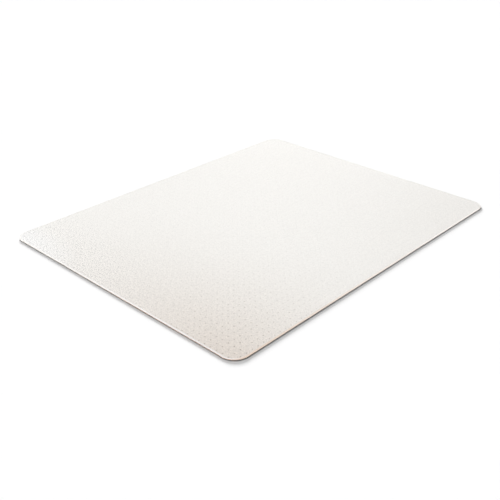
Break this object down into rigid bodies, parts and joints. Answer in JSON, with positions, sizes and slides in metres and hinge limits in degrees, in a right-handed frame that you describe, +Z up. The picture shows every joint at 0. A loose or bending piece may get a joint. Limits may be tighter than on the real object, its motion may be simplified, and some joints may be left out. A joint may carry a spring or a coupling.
{
  "type": "chair mat",
  "caption": "Rectangular frosted vinyl chair mat for carpet, with rounded corners, a ramped rim and gripper studs underneath.",
  "frame": {"origin": "under the middle of the mat, on the plane that the stud tips stand on", "axes": "+X along the long side, +Y along the short side, +Z up through the sheet"},
  "size_m": [1.524, 1.219, 0.006],
  "materials": {
    "vinyl_sheet": "frosted clear vinyl with a fine grain on top",
    "vinyl_studs": "frosted clear vinyl, moulded"
  },
  "bodies": {
    "root": {"mat_sheet": "vinyl_sheet", "rim_studs": "vinyl_studs", "field_studs": "vinyl_studs"}
  },
  "joints": []
}
